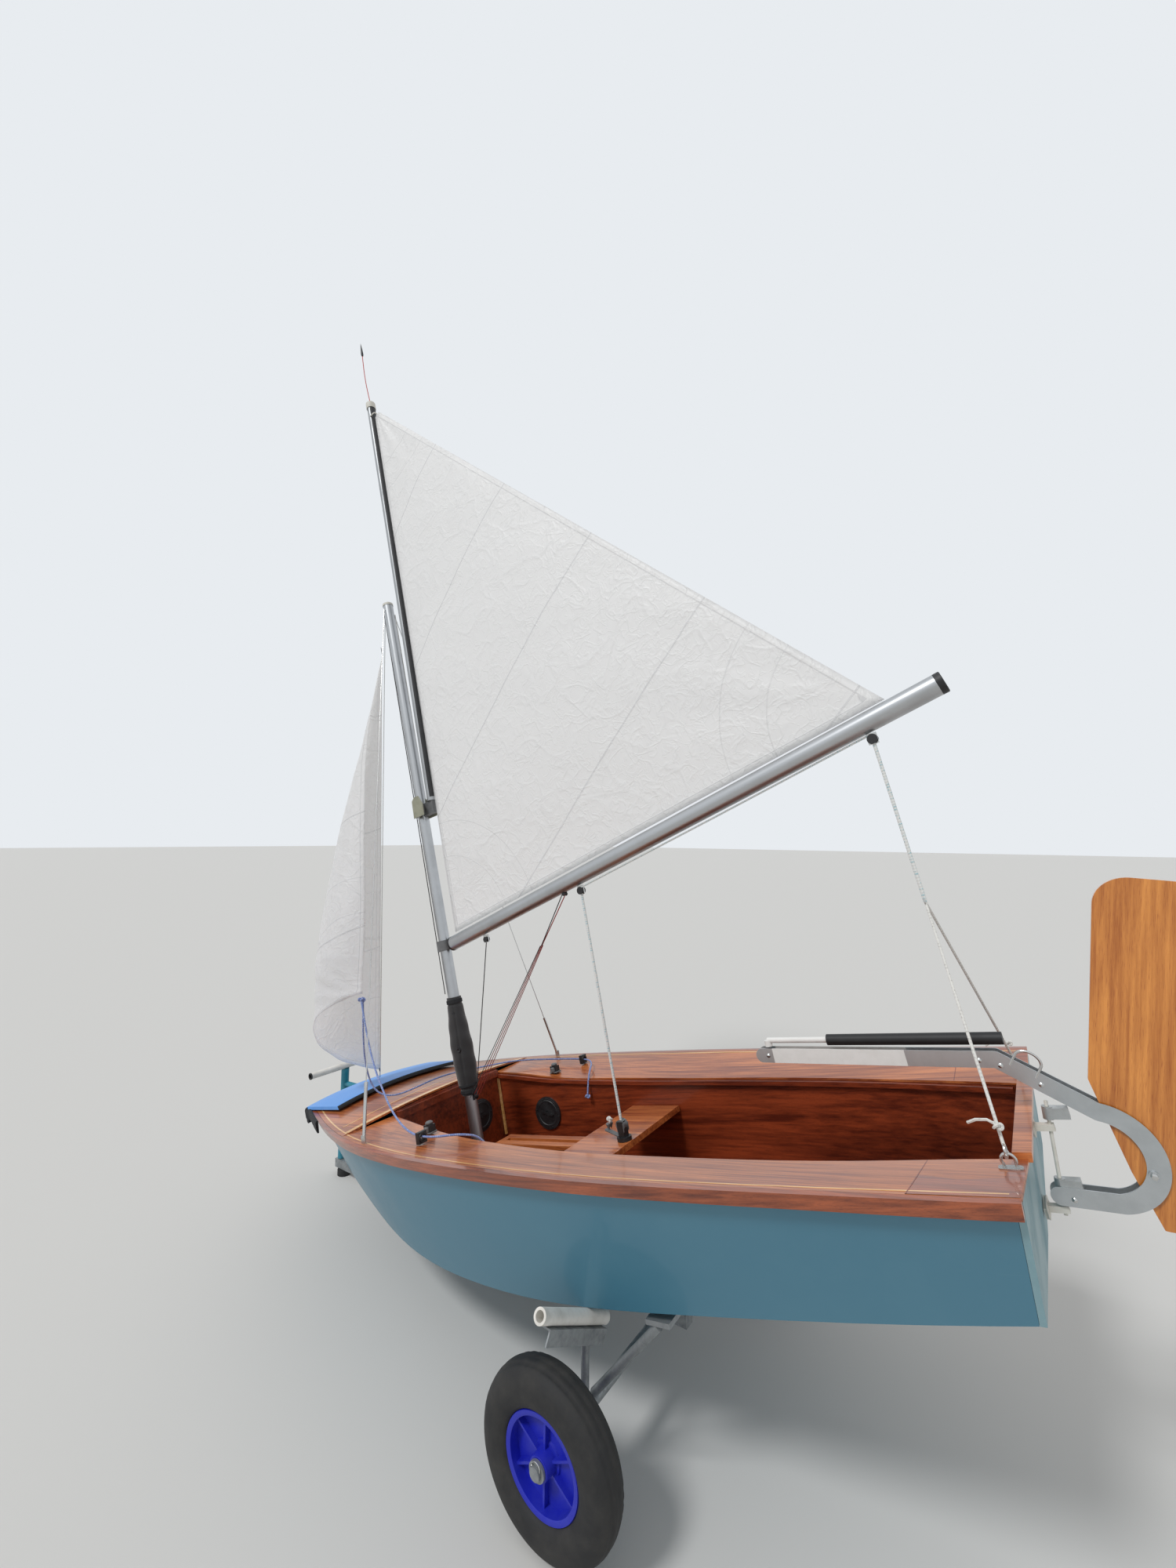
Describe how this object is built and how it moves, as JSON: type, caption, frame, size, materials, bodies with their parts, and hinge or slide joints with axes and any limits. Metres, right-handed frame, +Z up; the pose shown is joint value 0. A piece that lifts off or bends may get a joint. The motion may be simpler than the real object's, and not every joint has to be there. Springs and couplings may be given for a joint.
{
  "type": "sailing dinghy on launching trolley",
  "caption": "Small pram-bowed wooden sailing dinghy with gunter rig, lifting rudder and jib, parked nose down on a two-wheeled launching trolley.",
  "frame": {"origin": "on the ground midway between the trolley wheels, under the axle", "axes": "+X towards the bow and tow handle, +Y to port, +Z up"},
  "size_m": [3.3993, 1.356, 4.5883],
  "materials": {
    "hull_paint": "satin blue paint on plywood",
    "deck_mahogany": "gloss varnish on reddish-brown mahogany",
    "inner_mahogany": "varnished dark mahogany",
    "strake_wood": "varnished hardwood",
    "spar_aluminium": "silver anodised",
    "stainless": "bright stainless wire and plate",
    "rudder_aluminium": "satin anodised",
    "varnished_blade": "orange-brown varnished wood",
    "sail_cloth": "white crisp sailcloth",
    "black_neoprene": "black padded cover",
    "vane_black": "dark plastic",
    "extension_tube": "white tube with a black foam grip",
    "hatch_plastic": "black moulded plastic",
    "blue_foam": "bright blue closed-cell foam, black edges",
    "sheet_line": "blue braided rope with a pale fleck",
    "galvanised": "dull galvanised steel",
    "post_paint": "teal paint",
    "lagging": "white pipe",
    "tyre_rubber": "black rubber",
    "wheel_plastic": "strong blue moulded plastic"
  },
  "bodies": {
    "boat_and_trolley": {"axle": "galvanised", "axle_washers": "galvanised", "bow_chock": "galvanised", "bow_pad": "blue_foam", "bow_transom": "hull_paint", "bulkhead": "inner_mahogany", "chainplates": "stainless", "cradle_frames": "galvanised", "cradle_pads": "lagging", "daggerboard_case": "deck_mahogany", "drawbar": "galvanised", "foredeck": "deck_mahogany", "forestay": "stainless", "front_post": "post_paint", "hatches": "hatch_plastic", "hull_bottom_port": "hull_paint", "hull_bottom_starboard": "hull_paint", "hull_side_port": "hull_paint", "hull_side_starboard": "hull_paint", "jib": "sail_cloth", "jib_fairleads": "hatch_plastic", "jib_sheet_port": "sheet_line", "jib_sheet_starboard": "sheet_line", "keel": "hull_paint", "mainsheet_jammer": "hatch_plastic", "mast": "spar_aluminium", "mast_cover": "black_neoprene", "mast_step": "inner_mahogany", "quarter_blocks": "hatch_plastic", "rubbing_strake_port": "strake_wood", "rubbing_strake_starboard": "strake_wood", "shrouds": "stainless", "side_deck_port": "deck_mahogany", "side_deck_starboard": "deck_mahogany", "stern_cap": "deck_mahogany", "stern_transom": "hull_paint", "tank_wall_port": "inner_mahogany", "tank_wall_starboard": "inner_mahogany", "thwart": "deck_mahogany", "tow_handle": "lagging", "transom_fittings": "rudder_aluminium", "trolley_foot": "tyre_rubber"},
    "wheel_port": {"tyre_port": "tyre_rubber", "wheel_centre_port": "wheel_plastic"},
    "wheel_starboard": {"tyre_starboard": "tyre_rubber", "wheel_centre_starboard": "wheel_plastic"},
    "boom_and_sail": {"boom": "spar_aluminium", "gooseneck": "spar_aluminium", "yard": "spar_aluminium", "yard_heel": "spar_aluminium", "mainsail": "sail_cloth", "wind_vane": "vane_black", "boom_eyes": "stainless"},
    "rudder": {"rudder_stock": "rudder_aluminium", "rudder_lugs": "rudder_aluminium", "tiller_extension": "extension_tube"},
    "blade": {"rudder_blade": "varnished_blade"}
  },
  "joints": [
    {"name": "wheel_port_spin", "type": "hinge", "parent": "boat_and_trolley", "child": "wheel_port", "pos_m": [0, 0.62, 0.203], "axis": [0, 1, 0], "continuous": true},
    {"name": "wheel_starboard_spin", "type": "hinge", "parent": "boat_and_trolley", "child": "wheel_starboard", "pos_m": [0, -0.62, 0.203], "axis": [0, 1, 0], "continuous": true},
    {"name": "boom_swing", "type": "hinge", "parent": "boat_and_trolley", "child": "boom_and_sail", "pos_m": [1.15344, 0, 1.20521], "axis": [0.2957, 0, 0.9553], "range_deg": [-50, 50]},
    {"name": "rudder_swing", "type": "hinge", "parent": "boat_and_trolley", "child": "rudder", "pos_m": [-1.02107, 0, 0.97342], "axis": [0.1075, 0, 0.9942], "range_deg": [-45, 45]},
    {"name": "blade_lift", "type": "hinge", "parent": "rudder", "child": "blade", "pos_m": [-1.19351, 0, 0.97421], "axis": [0, 1, 0], "range_deg": [-161.5, 0]}
  ]
}
